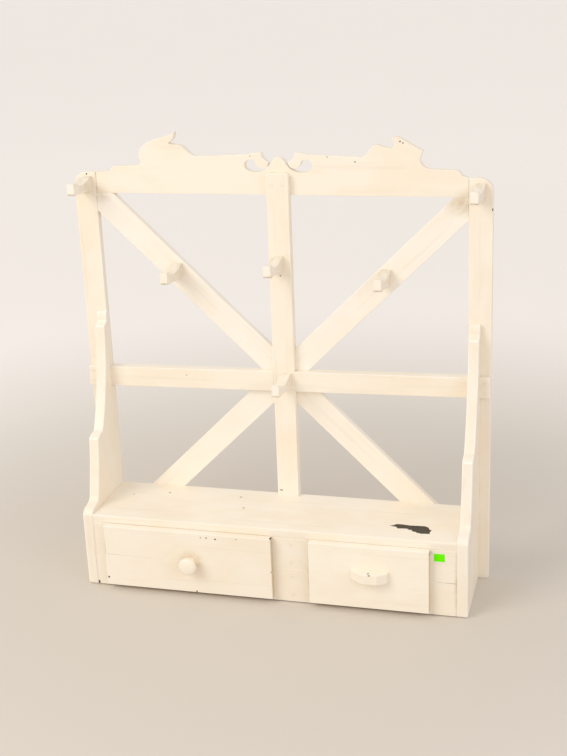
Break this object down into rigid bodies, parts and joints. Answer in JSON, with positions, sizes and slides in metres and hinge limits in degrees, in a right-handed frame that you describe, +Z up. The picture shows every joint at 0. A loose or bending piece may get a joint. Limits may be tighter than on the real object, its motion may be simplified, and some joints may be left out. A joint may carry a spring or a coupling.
{
  "type": "peg rack with shelf and drawers",
  "caption": "Standing or wall-hung hall rack: diagonal-braced peg frame with a scroll-cut crest over a shelf with shaped ends and small drawers, in old cream paint.",
  "frame": {"origin": "middle of the bounding box at floor level", "axes": "+Z up, -Y towards the front with the drawers, +X to the viewer's right"},
  "size_m": [0.76, 0.209, 0.827],
  "materials": {
    "paint_upright": "old cream-white brushed paint, grain upright",
    "paint_level": "old cream-white brushed paint, grain level",
    "paint_falling_brace": "old cream-white brushed paint, grain along the falling diagonal",
    "paint_rising_brace": "old cream-white brushed paint, grain along the rising diagonal",
    "paint_side_board": "old cream-white brushed paint, grain upright",
    "paint_crest": "old cream-white brushed paint over a scroll-sawn edge",
    "paint_shelf": "old cream-white brushed paint with a bare black worn patch",
    "paint_fascia": "old cream-white brushed paint with open board joints",
    "paint_drawer_front": "old cream-white brushed paint with small chips",
    "paint_handle": "old cream-white paint, rubbed and chipped",
    "paint_peg": "old cream-white paint, thicker in the corners",
    "bare_pine": "bare aged pine",
    "drawer_bottom_board": "bare aged thin pine board",
    "bare_dowel": "bare turned dowel",
    "painted_nail": "nail heads painted over",
    "screw_steel": "dull zinc-plated steel",
    "green_label": "bare bright green paper label"
  },
  "bodies": {
    "rack": {"left_post": "paint_upright", "right_post": "paint_upright", "centre_stile": "paint_upright", "left_side_board": "paint_side_board", "right_side_board": "paint_side_board", "scroll_crest": "paint_crest", "mid_rail": "paint_level", "back_board": "paint_level", "brace_upper_left": "paint_falling_brace", "brace_lower_right": "paint_falling_brace", "brace_upper_right": "paint_rising_brace", "brace_lower_left": "paint_rising_brace", "shelf_board": "paint_shelf", "fascia_lower_board": "paint_fascia", "fascia_left_block": "paint_fascia", "fascia_centre_block": "paint_fascia", "fascia_right_block": "paint_fascia", "centre_divider": "bare_pine", "drawer_runners": "bare_pine", "drawer_guides": "bare_pine", "crest_dowels": "bare_dowel", "frame_nails": "painted_nail", "case_nails": "painted_nail", "price_sticker": "green_label", "peg_left_post": "paint_peg", "peg_right_post": "paint_peg", "peg_upper_left_brace": "paint_peg", "peg_upper_right_brace": "paint_peg", "peg_stile": "paint_peg", "peg_crossing": "paint_peg"},
    "left_drawer": {"left_drawer_front": "paint_drawer_front", "left_drawer_knob": "paint_handle", "left_knob_screw": "screw_steel", "left_drawer_left_side": "bare_pine", "left_drawer_right_side": "bare_pine", "left_drawer_back": "bare_pine", "left_drawer_bottom": "drawer_bottom_board"},
    "right_drawer": {"right_drawer_front": "paint_drawer_front", "right_drawer_pull": "paint_handle", "right_pull_screws": "screw_steel", "right_drawer_left_side": "bare_pine", "right_drawer_right_side": "bare_pine", "right_drawer_back": "bare_pine", "right_drawer_bottom": "drawer_bottom_board"}
  },
  "joints": [
    {"name": "left_drawer_slide", "type": "slide", "parent": "rack", "child": "left_drawer", "axis": [0, -1, 0], "range_m": [0, 0.11]},
    {"name": "right_drawer_slide", "type": "slide", "parent": "rack", "child": "right_drawer", "axis": [0, -1, 0], "range_m": [0, 0.11]}
  ]
}
